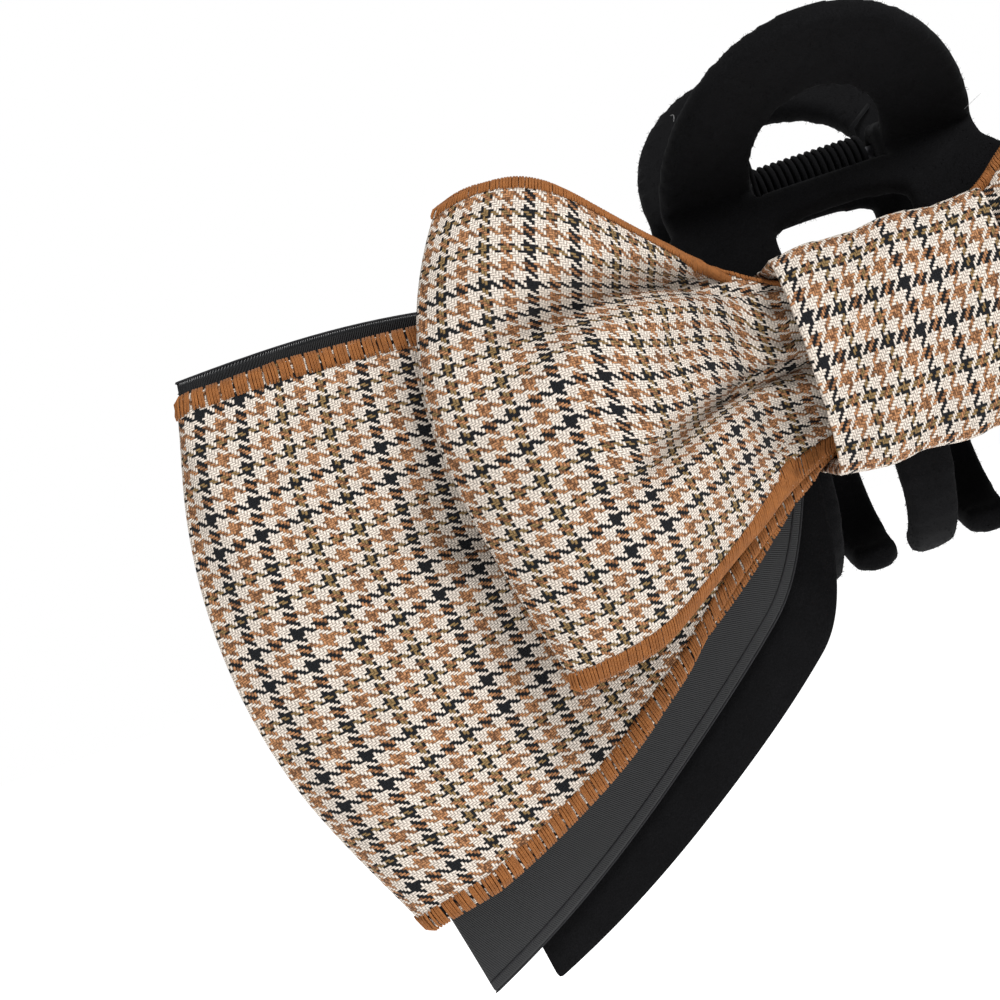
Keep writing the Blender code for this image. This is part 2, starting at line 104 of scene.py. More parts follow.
class Wires:
    """Short forms for the nodes that the fabrics are made of."""

    def __init__(self, tree):
        self.tree = tree

    def feed(self, value, socket):
        if isinstance(value, (int, float)):
            socket.default_value = value
        elif isinstance(value, tuple):
            socket.default_value = (*value, 1) if len(value) == 3 and socket.type == "RGBA" else value
        else:
            self.tree.links.new(value, socket)

    def math(self, operation, a, b=None, c=None):
        node = self.tree.nodes.new("ShaderNodeMath")
        node.operation = operation
        for value, socket in zip((a, b, c), node.inputs):
            if value is not None:
                self.feed(value, socket)
        return node.outputs[0]

    def mix(self, factor, a, b):
        node = self.tree.nodes.new("ShaderNodeMix")
        node.data_type = "RGBA"
        colour_a, colour_b, colour_out = node.inputs[6], node.inputs[7], node.outputs[2]
        self.feed(factor, node.inputs["Factor"])
        self.feed(a, colour_a)
        self.feed(b, colour_b)
        return colour_out

    def shade(self, colour, factor):
        """Colour times a grey factor."""
        node = self.tree.nodes.new("ShaderNodeVectorMath")
        node.operation = "SCALE"
        self.feed(colour, node.inputs[0])
        self.feed(factor, node.inputs["Scale"])
        return node.outputs[0]

    def noise(self, vector, scale, detail=2.0):
        node = self.tree.nodes.new("ShaderNodeTexNoise")
        self.feed(vector, node.inputs["Vector"])
        self.feed(scale, node.inputs["Scale"])
        node.inputs["Detail"].default_value = detail
        return node.outputs["Fac"]

    def random(self, a, b):
        """One random value for each pair of whole numbers."""
        join = self.tree.nodes.new("ShaderNodeCombineXYZ")
        self.feed(a, join.inputs[0])
        self.feed(b, join.inputs[1])
        node = self.tree.nodes.new("ShaderNodeTexWhiteNoise")
        node.noise_dimensions = "2D"
        self.feed(join.outputs[0], node.inputs["Vector"])
        return node.outputs["Value"]

    def split(self, vector):
        node = self.tree.nodes.new("ShaderNodeSeparateXYZ")
        self.feed(vector, node.inputs[0])
        return node.outputs

    def group(self, group, **values):
        node = self.tree.nodes.new("ShaderNodeGroup")
        node.node_tree = group
        for title, value in values.items():
            self.feed(value, node.inputs[title.replace("_", " ")])
        return node.outputs

    def bands(self, value, stops):
        """Flat bands of colour, each from its place to the next one's."""
        node = self.tree.nodes.new("ShaderNodeValToRGB")
        ramp = node.color_ramp
        ramp.interpolation = "CONSTANT"
        for _ in range(len(stops) - 2):
            ramp.elements.new(0.5)
        for element, (place, colour) in zip(ramp.elements, stops):
            element.position = place
            element.color = (*colour, 1)
        self.feed(value, node.inputs["Fac"])
        return node.outputs["Color"]

    def bump(self, height, strength, distance):
        node = self.tree.nodes.new("ShaderNodeBump")
        node.inputs["Strength"].default_value = strength
        node.inputs["Distance"].default_value = distance
        self.feed(height, node.inputs["Height"])
        return node.outputs[0]

    def uv(self):
        return self.tree.nodes.new("ShaderNodeTexCoord").outputs["UV"]

    def place(self):
        return self.tree.nodes.new("ShaderNodeTexCoord").outputs["Object"]


def yarn_order():
    """Stops of one repeat of the yarn colours, and its number of yarns; cream follows each stripe."""
    black = [(INK, STRIPE)]
    brown = [(BROWN_LIGHT, STRIPE)]
    dotted = [(INK, 1), (OLIVE, 2), (INK, 1)]
    cream = [(CREAM, STRIPE)]
    runs = []
    for stripe in (black, brown, black, brown, dotted, brown, dotted, brown):
        runs += stripe + cream
    total = sum(count for _, count in runs)
    stops = []
    at = 0
    for colour, count in runs:
        stops.append((at / total, colour))
        at += count
    return stops, total


def yarn_group():
    """Colour of one yarn by its number, with the brown yarns heathered."""
    group, source, target = new_group(
        "yarn colour", [("Yarn", "f", 0.0), ("Fleck", "f", 0.5)], [("Colour", "c")])
    w = Wires(group)
    stops, total = yarn_order()
    number = w.math("FLOORED_MODULO", source.outputs["Yarn"], float(total))
    share = w.math("DIVIDE", w.math("ADD", number, 0.5), float(total))
    colour = w.bands(share, stops)
    brown = w.math("LESS_THAN", w.math("FLOORED_MODULO", number, 2.0 * STRIPE), STRIPE - 0.5)
    odd = w.math("GREATER_THAN", w.math("FLOORED_MODULO", number, 4.0 * STRIPE), 2 * STRIPE - 0.5)
    brown = w.math("MULTIPLY", brown, odd)
    mixed = w.math("MULTIPLY_ADD", source.outputs["Fleck"], 1.6, -0.35)
    dark = w.math("MULTIPLY", brown, w.math("MINIMUM", w.math("MAXIMUM", mixed, 0.0), 1.0))
    w.feed(w.mix(dark, colour, BROWN_DARK), target.inputs["Colour"])
    return group


def twill_group(yarn):
    """Two-up two-down twill of coloured yarns: colour and height from a UV in metres; the colour is darker
    where the yarns dip, painted shade.
    """
    group, source, target = new_group(
        "houndstooth twill", [("Vector", "v", None), ("Shift U", "f", 0.0), ("Shift V", "f", 0.0)],
        [("Colour", "c"), ("Height", "f")])
    w = Wires(group)
    along, across, _ = w.split(source.outputs["Vector"])
    u = w.math("ADD", w.math("DIVIDE", along, YARN_ALONG), source.outputs["Shift U"])
    v = w.math("ADD", w.math("DIVIDE", across, YARN_ACROSS), source.outputs["Shift V"])
    i, j = w.math("FLOOR", u), w.math("FLOOR", v)
    in_u, in_v = w.math("SUBTRACT", u, i), w.math("SUBTRACT", v, j)
    step = w.math("FLOORED_MODULO", w.math("SUBTRACT", i, j), 4.0)
    over = w.math("LESS_THAN", step, 1.5)            # the lengthwise yarn lies on top
    run_long = w.math("MULTIPLY", w.math("ADD", step, in_u), 0.5)
    run_cross = w.math("MULTIPLY", w.math("SUBTRACT", w.math("SUBTRACT", step, 1.0), in_v), 0.5)

    def crown(along_run, across_yarn):
        round_yarn = w.math("SINE", w.math("MULTIPLY", across_yarn, math.pi))
        arch = w.math("SINE", w.math("MULTIPLY", w.math("FLOORED_MODULO", along_run, 1.0), math.pi))
        return w.math("MULTIPLY", w.math("POWER", round_yarn, 0.7), w.math("MULTIPLY_ADD", arch, 0.5, 0.5))

    high_long, high_cross = crown(run_long, in_v), crown(run_cross, in_u)
    swap = w.math("SUBTRACT", 1.0, over)
    height = w.math("ADD", w.math("MULTIPLY", high_long, over), w.math("MULTIPLY", high_cross, swap))
    fleck = w.random(i, j)
    long_colour = w.group(yarn, Yarn=j, Fleck=fleck)[0]
    cross_colour = w.group(yarn, Yarn=i, Fleck=fleck)[0]
    colour = w.mix(over, cross_colour, long_colour)
    # Painted shade: the yarn colour darkens where the height dips, between the yarns and at the ends of
    # their floats; the fleck adds a random tone.
    depth = w.math("MULTIPLY_ADD", height, 0.92, 0.26)
    tone = w.math("MULTIPLY", depth, w.math("MULTIPLY_ADD", fleck, 0.2, 0.9))
    w.feed(w.shade(colour, tone), target.inputs["Colour"])
    w.feed(height, target.inputs["Height"])
    return group


def make_check(name, twill, shift_u, shift_v):
    mat, tree, shader = new_material(name)
    w = Wires(tree)
    cloth = w.group(twill, Vector=w.uv(), Shift_U=shift_u, Shift_V=shift_v)
    soft = w.noise(w.place(), 180.0, 3.0)
    colour = w.shade(cloth[0], w.math("MULTIPLY_ADD", soft, 0.16, 0.92))
    w.feed(colour, shader.inputs["Base Color"])
    w.feed(w.bump(cloth[1], 0.8, 0.12 * MM), shader.inputs["Normal"])
    shader.inputs["Roughness"].default_value = 0.85
    shader.inputs["Specular IOR Level"].default_value = 0.2
    shader.inputs["Sheen Weight"].default_value = 0.03
    return mat


def thread_group():
    """Spun threads side by side: tone and height from a UV in metres, U along them and V across them; the
    tone is painted shade in the grooves, with random patches.
    """
    group, source, target = new_group(
        "spun thread", [("UV", "v", None), ("Place", "v", None)], [("Tone", "f"), ("Height", "f")])
    w = Wires(group)
    u, v, _ = w.split(source.outputs["UV"])
    strand = w.math("ABSOLUTE", w.math("SINE", w.math("MULTIPLY", v, math.pi / THREAD_PITCH)))
    lay = w.math("ADD", w.math("DIVIDE", u, THREAD_LAY), w.math("DIVIDE", v, THREAD_PITCH))
    twist = w.math("MULTIPLY_ADD", w.math("SINE", w.math("MULTIPLY", lay, 2 * math.pi)), 0.5, 0.5)
    height = w.math("ADD", w.math("MULTIPLY", strand, 0.75), w.math("MULTIPLY", twist, 0.25))
    patch = w.noise(source.outputs["Place"], 900.0)
    # Painted shade: the tone drops where the height dips, between the threads and in their twist; the patch
    # noise adds random tone.
    w.feed(w.math("MULTIPLY_ADD", height, 0.35, w.math("MULTIPLY", patch, 0.7)), target.inputs["Tone"])
    w.feed(height, target.inputs["Height"])
    return group


def make_thread(name, group, colour, dark):
    mat, tree, shader = new_material(name)
    w = Wires(tree)
    tone, height = w.group(group, UV=w.uv(), Place=w.place())
    # The dark colour is what the painted shade in the grooves goes down to.
    w.feed(w.mix(tone, dark, colour), shader.inputs["Base Color"])
    w.feed(w.bump(height, 0.9, 0.08 * MM), shader.inputs["Normal"])
    shader.inputs["Roughness"].default_value = 0.7
    shader.inputs["Specular IOR Level"].default_value = 0.2
    return mat


def make_satin():
    """Black satin: fine slanting ribs and uneven yarns, from a UV in metres; the colour is darker between
    the ribs, painted shade.
    """
    mat, tree, shader = new_material("black_satin")
    w = Wires(tree)
    u, v, _ = w.split(w.uv())
    diagonal = w.math("ADD", w.math("DIVIDE", u, SATIN_PITCH), w.math("DIVIDE", v, SATIN_DRIFT))
    floats = w.math("MULTIPLY_ADD", w.math("SINE", w.math("MULTIPLY", diagonal, 2 * math.pi)), 0.5, 0.5)
    slub = w.noise(w.place(), 700.0, 3.0)
    # Painted shade: the colour darkens between the ribs; the slub noise adds random tone.
    tone = w.math("MULTIPLY_ADD", floats, 0.25, w.math("MULTIPLY", slub, 0.6))
    w.feed(w.mix(tone, (0.0015, 0.0017, 0.0022), (0.0065, 0.0072, 0.0088)), shader.inputs["Base Color"])
    w.feed(w.math("MULTIPLY_ADD", slub, 0.2, 0.24), shader.inputs["Roughness"])
    height = w.math("ADD", floats, w.math("MULTIPLY", slub, 0.6))
    w.feed(w.bump(height, 0.55, 0.06 * MM), shader.inputs["Normal"])
    shader.inputs["Anisotropic"].default_value = 0.4
    shader.inputs["Specular IOR Level"].default_value = 0.4
    return mat


def flock_group():
    """Short dense fibres: pale tips by noise, and a rough height."""
    group, source, target = new_group(
        "flock", [("Vector", "v", None), ("Nap", "f", 1.0)], [("Mask", "f"), ("Height", "f")])
    w = Wires(group)
    fine = w.noise(source.outputs["Vector"], 5200.0, 3.0)
    rubbed = w.noise(source.outputs["Vector"], 240.0, 3.0)
    mask = w.math("MULTIPLY", w.math("POWER", fine, 2.0), w.math("MULTIPLY_ADD", rubbed, 0.8, 0.4))
    w.feed(w.math("MULTIPLY", mask, source.outputs["Nap"]), target.inputs["Mask"])
    w.feed(w.math("ADD", fine, w.math("MULTIPLY", rubbed, 0.5)), target.inputs["Height"])
    return group


def make_flock(name, group, dark, pale, nap, sheen):
    mat, tree, shader = new_material(name)
    w = Wires(tree)
    mask, height = w.group(group, Vector=w.place(), Nap=nap)
    w.feed(w.mix(mask, dark, pale), shader.inputs["Base Color"])
    w.feed(w.bump(height, 0.7, 0.12 * MM), shader.inputs["Normal"])
    shader.inputs["Roughness"].default_value = 1.0
    shader.inputs["Specular IOR Level"].default_value = 0.12
    shader.inputs["Sheen Weight"].default_value = sheen
    shader.inputs["Sheen Roughness"].default_value = 0.4
    shader.inputs["Sheen Tint"].default_value = (0.35, 0.36, 0.4, 1)
    return mat


def grain_group():
    """Uneven surface of metal, glue and loose fibre: one value for its tone and its height."""
    group, source, target = new_group(
        "grain", [("Vector", "v", None), ("Scale", "f", 900.0)], [("Grain", "f")])
    w = Wires(group)
    w.feed(w.noise(source.outputs["Vector"], source.outputs["Scale"], 4.0), target.inputs["Grain"])
    return group


def make_steel(group):
    mat, tree, shader = new_material("spring_steel")
    w = Wires(tree)
    grain = w.group(group, Vector=w.place(), Scale=1500.0)[0]
    w.feed(w.mix(grain, (0.02, 0.02, 0.022), (0.09, 0.09, 0.1)), shader.inputs["Base Color"])
    w.feed(w.math("MULTIPLY_ADD", grain, 0.3, 0.35), shader.inputs["Roughness"])
    shader.inputs["Metallic"].default_value = 0.8
    return mat


def make_plain(name, group, dark, pale, scale, roughness, bump):
    """Glue, wadding and lint, each with its own unevenness."""
    mat, tree, shader = new_material(name)
    w = Wires(tree)
    grain = w.group(group, Vector=w.place(), Scale=scale)[0]
    w.feed(w.mix(grain, dark, pale), shader.inputs["Base Color"])
    w.feed(w.bump(grain, 0.6, bump), shader.inputs["Normal"])
    shader.inputs["Roughness"].default_value = roughness
    return mat


TWILL = twill_group(yarn_group())
FLOCK = flock_group()
THREAD = thread_group()
GRAIN = grain_group()
UPPER_CHECK = make_check("check_twill_upper", TWILL, 3.0, 11.0)
LOWER_CHECK = make_check("check_twill_lower", TWILL, 20.0, 5.0)
KNOT_CHECK = make_check("check_twill_knot", TWILL, 2.0, 1.0)
# The second colour of each thread is its painted shade in the grooves.
OVERLOCK = make_thread("overlock_thread", THREAD, THREAD_BROWN, (0.10, 0.034, 0.010))
BLACK_THREAD = make_thread("black_thread", THREAD, (0.02, 0.02, 0.022), (0.005, 0.005, 0.006))
SATIN = make_satin()
VELVET = make_flock("black_velvet", FLOCK, (0.001, 0.001, 0.0012), (0.012, 0.012, 0.0135), 1.0, 0.03)
FLOCKED = make_flock("black_flock", FLOCK, (0.001, 0.001, 0.0012), (0.011, 0.011, 0.0125), 1.0, 0.022)
LINT = make_plain("lint", GRAIN, (0.35, 0.35, 0.35), (0.6, 0.6, 0.6), 900.0, 1.0, 0.01 * MM)
STEEL = make_steel(GRAIN)
GLUE = make_plain("hot_melt_glue", GRAIN, (0.42, 0.38, 0.3), (0.6, 0.57, 0.5), 300.0, 0.35, 0.2 * MM)
# Dark brown, darker than the pale wadding itself: painted shade for the wadding deep in the knot.
WADDING = make_plain("wadding", GRAIN, (0.10, 0.08, 0.06), (0.2, 0.16, 0.12), 900.0, 1.0, 0.3 * MM)


# ---------------------------------------------------------------- mesh helpers

def deselect():
    for obj in bpy.context.selected_objects:
        obj.select_set(False)


def activate(obj):
    deselect()
    obj.select_set(True)
    bpy.context.view_layer.objects.active = obj


def apply_modifier(obj, kind, **values):
    activate(obj)
    mod = obj.modifiers.new(kind.lower(), kind)
    for key, value in values.items():
        setattr(mod, key, value)
    bpy.ops.object.modifier_apply(modifier=mod.name)


def cloth_grid(name, count_u, count_v, place, flat_length, flat_width, mat):
    """Grid of count_u x count_v faces, each point put at place(a, b), a and b from 0 to 1; UV in metres."""
    deselect()
    bpy.ops.mesh.primitive_grid_add(x_subdivisions=count_u, y_subdivisions=count_v, size=1)
    obj = bpy.context.object
    obj.name = name
    mesh = obj.data
    layer = mesh.uv_layers.active.data
    flat = np.array([vert.co[:2] for vert in mesh.vertices]) + 0.5
    for vert, (a, b) in zip(mesh.vertices, flat):
        vert.co = place(a, b)
    for loop in mesh.loops:
        a, b = flat[loop.vertex_index]
        layer[loop.index].uv = ((a - 0.5) * flat_length, (b - 0.5) * flat_width)
    mesh.materials.append(mat)
    mesh.update()
    return obj


def grid_points(obj, count_u, count_v):
    """Vertex places as an array [v][u] of vectors; the grid's order is row by row along U."""
    places = np.array([vert.co[:] for vert in obj.data.vertices])
    return places.reshape(count_v + 1, count_u + 1, 3)


def lay_uv(obj, points):
    """UV in metres: U is the mean run along the strip, V the run across it, evened out at the gathers."""
    along = np.linalg.norm(np.diff(points, axis=1), axis=2).mean(axis=0)
    u = np.concatenate([[0.0], np.cumsum(along)])
    across = np.linalg.norm(np.diff(points, axis=0), axis=2)
    v = np.concatenate([np.zeros((1, points.shape[1])), np.cumsum(across, axis=0)])
    share = v / v[-1]
    widest = v[-1].max()
    v = (share - 0.5) * widest * (v[-1] / widest) ** 0.4
    layer = obj.data.uv_layers.active.data
    cols = points.shape[1]
    for loop in obj.data.loops:
        row, col = divmod(loop.vertex_index, cols)
        layer[loop.index].uv = (u[col] - u[-1] / 2, v[row, col])


def relax(obj, pinned, cap, swell):
    """Short cloth simulation of a strip that grows by swell; no point moves further than cap."""
    activate(obj)
    start = [vert.co.copy() for vert in obj.data.vertices]
    group = obj.vertex_groups.new(name="held")
    for vert in obj.data.vertices:
        group.add([vert.index], pinned(vert.co), "REPLACE")
    mod = obj.modifiers.new("cloth", "CLOTH")
    cloth = mod.settings
    cloth.quality = 6
    cloth.mass = 0.15
    cloth.tension_stiffness = 25
    cloth.compression_stiffness = 25
    cloth.shear_stiffness = 8
    cloth.bending_stiffness = 0.35
    cloth.shrink_min = -swell
    cloth.vertex_group_mass = "held"
    cloth.pin_stiffness = 1.0
    cloth.effector_weights.gravity = 0.0
    mod.collision_settings.use_collision = False
    mod.point_cache.frame_start = 1
    mod.point_cache.frame_end = SIM_FRAMES
    for step in range(1, SIM_FRAMES + 1):
        bpy.context.scene.frame_set(step)
    graph = bpy.context.evaluated_depsgraph_get()
    moved = [vert.co.copy() for vert in obj.evaluated_get(graph).data.vertices]
    obj.modifiers.remove(mod)
    obj.vertex_groups.clear()
    bpy.context.scene.frame_set(1)
    for vert, before, after in zip(obj.data.vertices, start, moved):
        shift = after - before
        if shift.length > cap:
            shift *= cap / shift.length
        vert.co = before + shift


def finish_cloth(obj, thick):
    """Smooth, thicken and shade a sheet."""
    apply_modifier(obj, "SUBSURF", levels=1, render_levels=1)
    apply_modifier(obj, "SOLIDIFY", thickness=thick, offset=0.0)
    obj.data.shade_smooth()


def threads(name, paths, radius, mat, sides=4):
    """Many short threads as one mesh, each a tube along its path, with U along the thread in metres."""
    verts, faces, uvs = [], [], []
    for path in paths:
        base = len(verts)
        run = 0.0
        runs = []
        for k, point in enumerate(path):
            if k:
                run += (point - path[k - 1]).length
            runs.append(run)
            before, after = path[max(k - 1, 0)], path[min(k + 1, len(path) - 1)]
            tangent = (after - before).normalized()
            side = side - tangent * side.dot(tangent) if k else tangent.orthogonal()
            side.normalize()
            up = tangent.cross(side)
            taper = 0.55 if k in (0, len(path) - 1) else 1.0
            for c in range(sides):
                turn = 2 * math.pi * c / sides
                verts.append(point + (side * math.cos(turn) + up * math.sin(turn)) * (radius * taper))
        for k in range(len(path) - 1):
            for c in range(sides):
                d = (c + 1) % sides
                a, b = base + k * sides, base + (k + 1) * sides
                faces.append((a + c, a + d, b + d, b + c))
                low, high = radius * c / sides, radius * (c + 1) / sides
                uvs.append(((runs[k], low), (runs[k], high), (runs[k + 1], high), (runs[k + 1], low)))
        first = tuple(base + c for c in range(sides))
        last = tuple(base + (len(path) - 1) * sides + c for c in range(sides))
        faces += [first[::-1], last]
        uvs += [((0.0, 0.0),) * sides, ((run, 0.0),) * sides]
    return strand_mesh(name, verts, faces, uvs, mat)


# ---------------------------------------------------------------- places from the frame

FRONT, REAR = "front_body", "rear_body"


def layer_depth(node):
    """Distances in front of the origin that a node spans."""
    low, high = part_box(node)
    return -high[1], -low[1]


KNOT_LOW, KNOT_HIGH = (Vector(corner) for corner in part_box("knot_band"))
HINGE = sum((Vector(corner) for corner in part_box("hinge_pin")), Vector()) / 2


def sway(place):
    """Slow waves that all the layers share, so that they stay nested; none under the knot."""
    x, z = place.x, place.z
    reach = ease((abs(x) - 18 * MM) / (28 * MM))
    phase = 0.6 if x > 0 else 2.9
    slow = 1.5 * math.sin(x / (15 * MM) + z / (21 * MM) + phase)
    quick = 0.7 * math.sin(x / (8 * MM) - z / (11 * MM))
    return place + Vector((0, -(slow + quick) * MM * reach, 0))


def steer(points, t):
    """Smooth curve that a few (x, z) points in mm steer, at t from 0 to 1."""
    work = [Vector(p) for p in points]
    while len(work) > 1:
        work = [a.lerp(b, t) for a, b in zip(work, work[1:])]
    return work[0] * MM


class Loops:
    """A strip folded into one loop each side.

    top and bottom steer the outline in mm, and bulge and tilt bow its end out. depth is the back layer's
    distance in front of the origin and inside the gap between the layers, which opens by puff past hold,
    a share of the reach, while the loop comes forward by lean. valleys, crown, gathers and pleat shape
    the front, and raised lifts the right loop.
    """

    def __init__(self, depth, top, bottom, bulge, tilt, puff, lean, inside, hold, valleys, crown,
                 gathers, pleat, raised=0.0):
        self.depth, self.top, self.bottom = depth, top, bottom
        self.bulge, self.tilt, self.raised = bulge, tilt, raised
        self.puff, self.lean, self.inside, self.hold = puff, lean, inside, hold
        self.valleys, self.crown, self.gathers, self.pleat = valleys, crown, gathers, pleat

    def outline(self, t, b):
        upper, lower = steer(self.top, t), steer(self.bottom, t)
        place = lower.lerp(upper, b)
        v = 2 * b - 1
        place.x += self.bulge * (1 - v * v) * (1 + self.tilt * v) * t * t
        return place

    def place(self, a, b):
        """a runs 0..1 from the waist's back round the right loop, the front, and the left loop."""
        side = 1 if a < 0.5 else -1
        s = a * 2 if a < 0.5 else 2 - a * 2          # 0 back at the waist, 0.5 at the fold, 1 front
        t = 1 - abs(2 * s - 1)
        front = s > 0.5
        cap_from = 0.9
        if t > cap_from:
            turn = (t - cap_from) / (1 - cap_from) * math.pi / 2
            reach = cap_from + (1 - cap_from) * math.sin(turn)
            cap = math.cos(turn)
        else:
            reach, cap = t, 1.0
        swell = max(reach - self.hold, 0) / (1 - self.hold)
        v = 2 * b - 1
        rise = math.sin(math.pi * 0.86 * swell ** 0.85)
        room = 0.5 * (self.inside + self.puff * rise)
        half = room * cap
        middle = self.depth + self.lean * math.sin(math.pi / 2 * swell) + room
        out = self.outline(reach, b)
        if side > 0:
            out.y += self.raised * b * math.sin(math.pi * min(reach * 1.3, 1.0))
        y = middle + (half if front else -half)
        if front:
            y += self.folds(reach, v, side) * cap
            y -= self.puff * self.crown * rise * abs(v) ** 3 * cap
        else:
            y += 0.35 * self.folds(reach, v * 0.8 + 0.1, side) * cap
        return sway(Vector((side * out.x, -y, out.y)))

    def folds(self, t, v, side):
        """Height of the pleats that fan out from the knot."""
        total = 0.0
        for start, end, depth, width, near, far in self.valleys:
            centre = start + (end - start) * ease(t)
            if side > 0:
                centre = -centre * 0.8 + 0.05
            spread = width * (0.35 + 0.65 * t)
            fade = ease((t - 0.06) / 0.18) * (1 - ease((t - near) / (far - near)))
            total -= depth * fade * math.exp(-((v - centre) / spread) ** 2)
        gather = math.sin(v * self.gathers * math.pi + 1.3 * side + 1.5 * v * v)
        return total + self.pleat * gather * (1 - ease((t - 0.12) / 0.42))


def build_loops(name, shape, count_u, count_v, length, width, mat, node, cap):
    obj = cloth_grid(name, count_u, count_v, shape.place, length, width, mat)
    relax(obj, lambda co: 1.0 if abs(co.x) < KNOT_HIGH.x else 0.0, cap, 0.02)
    points = grid_points(obj, count_u, count_v)
    lay_uv(obj, points)
    finish_cloth(obj, CLOTH_THICK)
    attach(obj, FRONT)
    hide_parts(node)
    return points


UPPER = Loops(
    layer_depth("upper_gather_thread")[0] + 1.0 * MM,
    top=[(0, 10), (14, 10), (25, 11), (33, 33), (45, 39), (54.5, 34)],
    bottom=[(0, -10), (14, -10), (25, -11), (34, -26), (46, -29), (57.5, -29)],
    bulge=7.5 * MM, tilt=0.5, puff=9 * MM, lean=9 * MM, inside=1.3 * MM, hold=19 / 56,
    valleys=[(1.1, 0.3, 7.2 * MM, 0.15, 0.7, 1.0), (0.15, -0.55, 5.8 * MM, 0.14, 0.55, 0.85),
             (-0.6, -0.8, 1.2 * MM, 0.14, 0.35, 0.6)],
    crown=0.55, gathers=5, pleat=0.8 * MM, raised=3.5 * MM)

LOWER = Loops(
    layer_depth("lower_gather_thread")[0] + 1.0 * MM,
    top=[(0, 10), (14, 10), (26, 11), (50, 24), (74, 23), (96, 22)],
    bottom=[(0, -10), (14, -10), (25, -11), (42, -40), (64, -49.5), (87, -53.5)],
    bulge=8 * MM, tilt=0.0, puff=5 * MM, lean=3 * MM, inside=1.3 * MM, hold=28 / 96,
    valleys=[(0.0, 0.15, 3.6 * MM, 0.2, 0.62, 0.95), (-0.4, -0.5, 1.8 * MM, 0.2, 0.6, 0.95)],
    crown=0.3, gathers=8, pleat=1.0 * MM)


# ---------------------------------------------------------------- overlocked edges

def sample(points, row, col):
    """Place between rows (across the cloth) and columns (along it) of a grid."""
    rows, cols = points.shape[:2]
    row, col = min(max(row, 0), rows - 1.001), min(max(col, 0), cols - 1.001)
    r, c = int(row), int(col)
    fr, fc = row - r, col - c
    near = points[r, c] * (1 - fc) + points[r, c + 1] * fc
    far = points[r + 1, c] * (1 - fc) + points[r + 1, c + 1] * fc
    return Vector(near * (1 - fr) + far * fr)


def edge_wraps(points, top, pitch, gap, front_reach, back_reach, slant, thick, jitter):
    """Threads that wrap one long edge, from the front face round the rim to the back, in small groups."""
    rows, cols = points.shape[:2]
    edge_row = rows - 1 if top else 0
    inward = -1 if top else 1
    rng = random.Random(SEED + int(top))
    run = [0.0]
    for c in range(1, cols):
        run.append(run[-1] + float(np.linalg.norm(points[edge_row, c] - points[edge_row, c - 1])))
    columns = np.arange(cols)
    bundles = []
    group = 4
    for k in range(int(run[-1] / (pitch + gap / group))):
        at = (k + 0.5) * pitch + k // group * gap + rng.uniform(-1, 1) * jitter
        col = float(np.interp(at, run, columns))
        outer = sample(points, edge_row, col)
        row_step = max((outer - sample(points, edge_row + inward, col)).length, 0.2 * MM)
        bundle = []
        for face, reach in ((1, front_reach), (-1, back_reach)):
            reach += rng.uniform(-1, 1) * jitter
            stretch = []
            for share in (1.0, 0.75, 0.4, 0.12):
                there = float(np.interp(at + slant * share * face, run, columns))
                row = edge_row + inward * reach * share / row_step
                here = sample(points, row, there)
                along = (sample(points, row, there + 0.5) - sample(points, row, there - 0.5)).normalized()
                across = (sample(points, row + 1, there) - sample(points, row - 1, there)).normalized()
                normal = along.cross(across).normalized() * face
                lift = CLOTH_THICK / 2 + thick * (0.15 if share == 1.0 else 0.8)
                stretch.append((here + normal * lift, along))
            bundle += stretch if face > 0 else stretch[::-1]
        away = (outer - sample(points, edge_row + inward * 2, col)).normalized()
        bundle.insert(4, (outer + away * thick * 1.3, bundle[3][1]))
        bundles.append(bundle)
    return bundles


def wrap_mesh(name, bundles, half_width, half_thick, mat, sides=6):
    """Flat bundles of thread as one mesh; every ring is an ellipse that is wide along the edge."""
    verts, faces, uvs = [], [], []
    for bundle in bundles:
        base = len(verts)
        run, previous = 0.0, None
        runs = []
        for k, (point, along) in enumerate(bundle):
            run += (point - previous).length if previous else 0.0
            previous = point
            runs.append(run)
            ahead = bundle[min(k + 1, len(bundle) - 1)][0] - bundle[max(k - 1, 0)][0]
            up = along.cross(ahead).normalized()
            tip = 0.8 if k in (0, len(bundle) - 1) else 1.0
            for c in range(sides):
                turn = 2 * math.pi * c / sides
                wide, high = along * math.cos(turn) * half_width, up * math.sin(turn) * half_thick
                verts.append(point + (wide + high) * tip)
        for k in range(len(bundle) - 1):
            for c in range(sides):
                d = (c + 1) % sides
                low, high = base + k * sides, base + (k + 1) * sides
                faces.append((low + c, low + d, high + d, high + c))
                near, far = runs[k], runs[k + 1]
                side_c, side_d = (half_width * math.cos(2 * math.pi * e / sides) for e in (c, c + 1))
                uvs.append(((near, side_c), (near, side_d), (far, side_d), (far, side_c)))
        first = tuple(base + c for c in range(sides))
        last = tuple(base + (len(bundle) - 1) * sides + c for c in range(sides))
        faces += [first[::-1], last]
        uvs += [((0.0, 0.0),) * sides, ((run, 0.0),) * sides]
    return strand_mesh(name, verts, faces, uvs, mat)


def strand_mesh(name, verts, faces, uvs, mat):
    """Object made of lists of points, faces and the UV of their corners, with its faces turned outwards."""
    mesh = bpy.data.meshes.new(name)
    mesh.from_pydata(verts, [], faces)
    layer = mesh.uv_layers.new(name="UVMap").data
    layer.foreach_set("uv", np.array([uv for corner in uvs for uv in corner]).ravel())
    mesh.materials.append(mat)
    obj = bpy.data.objects.new(name, mesh)
    bpy.context.scene.collection.objects.link(obj)
    activate(obj)
    bpy.ops.object.mode_set(mode="EDIT")
    bpy.ops.mesh.select_all(action="SELECT")
    bpy.ops.mesh.normals_make_consistent(inside=False)
    bpy.ops.object.mode_set(mode="OBJECT")
    mesh.shade_smooth()
    return obj


